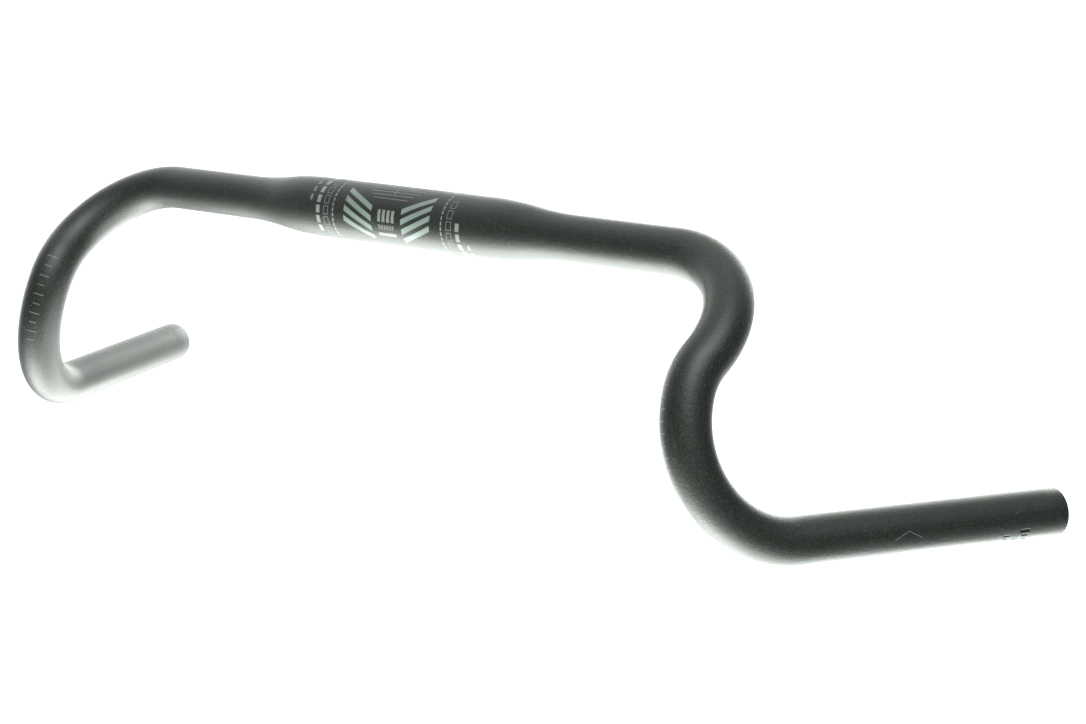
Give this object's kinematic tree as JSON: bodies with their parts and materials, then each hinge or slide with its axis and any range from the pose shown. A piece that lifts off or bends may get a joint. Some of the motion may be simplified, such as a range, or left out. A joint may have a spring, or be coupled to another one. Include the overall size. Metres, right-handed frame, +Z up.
{
  "type": "drop handlebar",
  "caption": "Flared drop handlebar for a road or gravel bicycle: a hollow, bulged and tapered tube with forward hooks, outswept drops, open ends and printed setting lines.",
  "frame": {"origin": "centre of the clamp zone, on the tube's axis", "axes": "+X along the tops to the right-hand drop, -Y forward, +Z up with both straight drops level"},
  "size_m": [0.6596, 0.1952, 0.1507],
  "materials": {
    "black_tube": "matt black, fine bead-blasted texture",
    "print_green": "satin grey-green transfer",
    "print_white": "satin off-white transfer",
    "print_grey": "satin mid-grey transfer",
    "print_black": "gloss black transfer"
  },
  "bodies": {
    "root": {"bar_tube": "black_tube", "angle_lines": "print_grey", "block_ring_left": "print_white", "block_ring_right": "print_white", "centre_line": "print_white", "clamp_stripes_left": "print_green", "clamp_stripes_right": "print_green", "dash_ring_left": "print_white", "dash_ring_right": "print_white", "drop_chevron": "print_grey", "end_arc": "print_white", "end_key_lines": "print_white", "end_marks": "print_black", "frame_ring_left": "print_grey", "frame_ring_right": "print_grey", "grade_blocks": "print_grey", "lever_scale_left": "print_grey", "lever_scale_right": "print_grey", "maker_bar": "print_white", "outer_ring_left": "print_grey", "outer_ring_right": "print_grey", "size_blocks": "print_white"}
  },
  "joints": []
}
